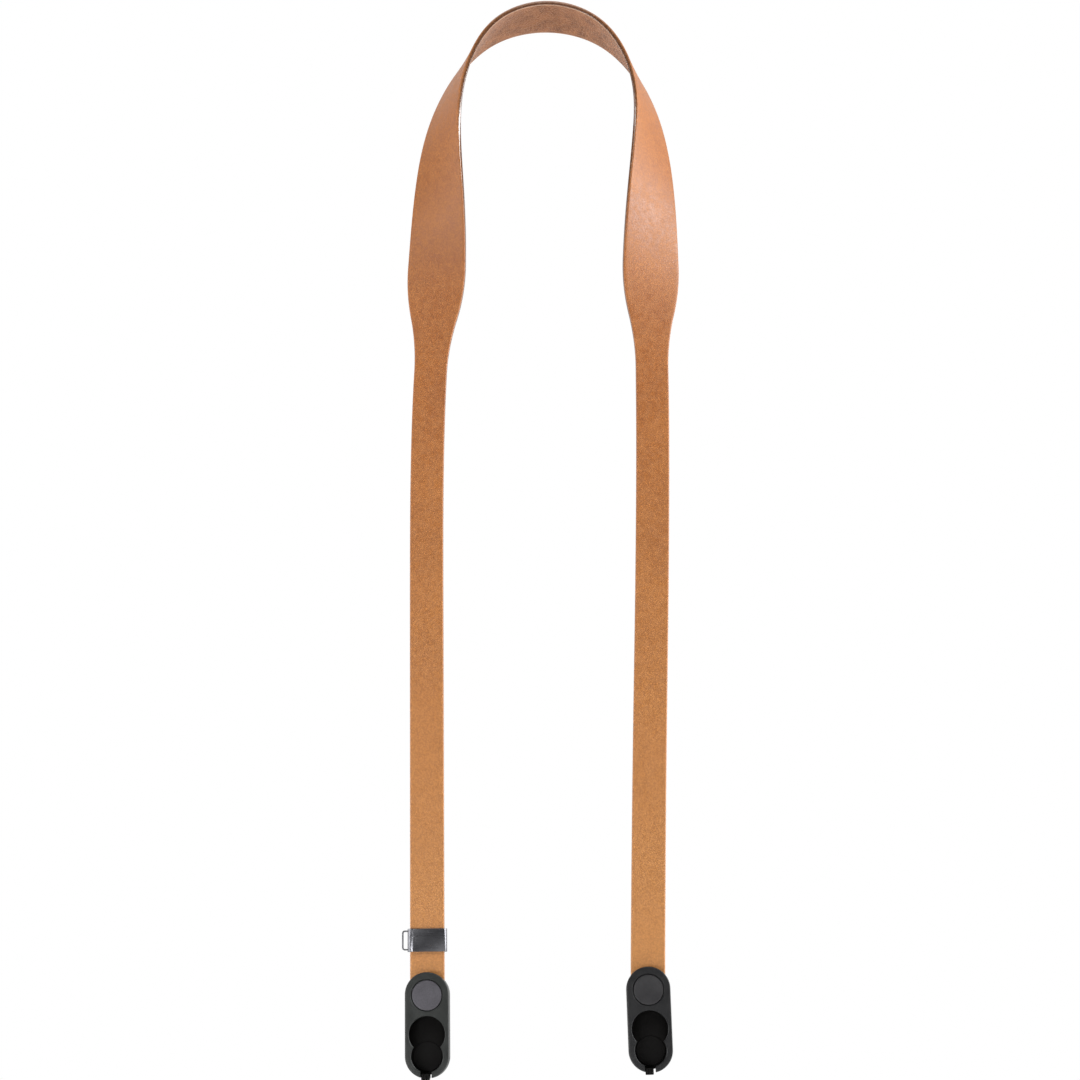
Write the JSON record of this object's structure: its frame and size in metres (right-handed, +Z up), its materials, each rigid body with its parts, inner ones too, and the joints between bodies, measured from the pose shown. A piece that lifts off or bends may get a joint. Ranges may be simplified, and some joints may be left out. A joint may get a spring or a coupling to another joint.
{
  "type": "camera neck strap",
  "caption": "Leather camera neck strap with a wide neck pad, a sliding metal keeper and pill-shaped quick-release connectors.",
  "frame": {"origin": "underside of the leather at the crown, where the strap lies on a neck or hangs from a peg", "axes": "+Z up, the length of the hanging strap; +Y away from the viewer, through the leather of the legs; +X to the viewer's right"},
  "size_m": [0.1131, 0.0254, 0.4453],
  "materials": {
    "leather": "smooth satin tan grain side, suede flesh side, dark burnished edges",
    "black_plastic": "satin charcoal glass-filled plastic",
    "cap_plastic": "satin charcoal, slightly lighter than the housing",
    "latch_plastic": "near-black satin",
    "gunmetal": "satin gunmetal coating"
  },
  "bodies": {
    "root": {"strap": "leather", "left_housing": "black_plastic", "right_housing": "black_plastic", "left_rivet": "cap_plastic", "right_rivet": "cap_plastic"},
    "keeper": {"keeper": "gunmetal"},
    "left_latch": {"left_latch": "latch_plastic"},
    "right_latch": {"right_latch": "latch_plastic"}
  },
  "joints": [
    {"name": "keeper_slide", "type": "slide", "parent": "root", "child": "keeper", "axis": [-0.0114, 0, 0.9999], "range_m": [-0.007, 0.15]},
    {"name": "left_latch_flex", "type": "hinge", "parent": "root", "child": "left_latch", "pos_m": [-0.04702, -0.00205, -0.41764], "axis": [0.9996, -0.0262, 0.0118], "range_deg": [0, 4], "stiffness_Nm_per_rad": 1.5},
    {"name": "right_latch_flex", "type": "hinge", "parent": "root", "child": "right_latch", "pos_m": [0.03975, -0.00205, -0.41547], "axis": [0.9993, -0.0174, 0.032], "range_deg": [0, 4], "stiffness_Nm_per_rad": 1.5}
  ]
}
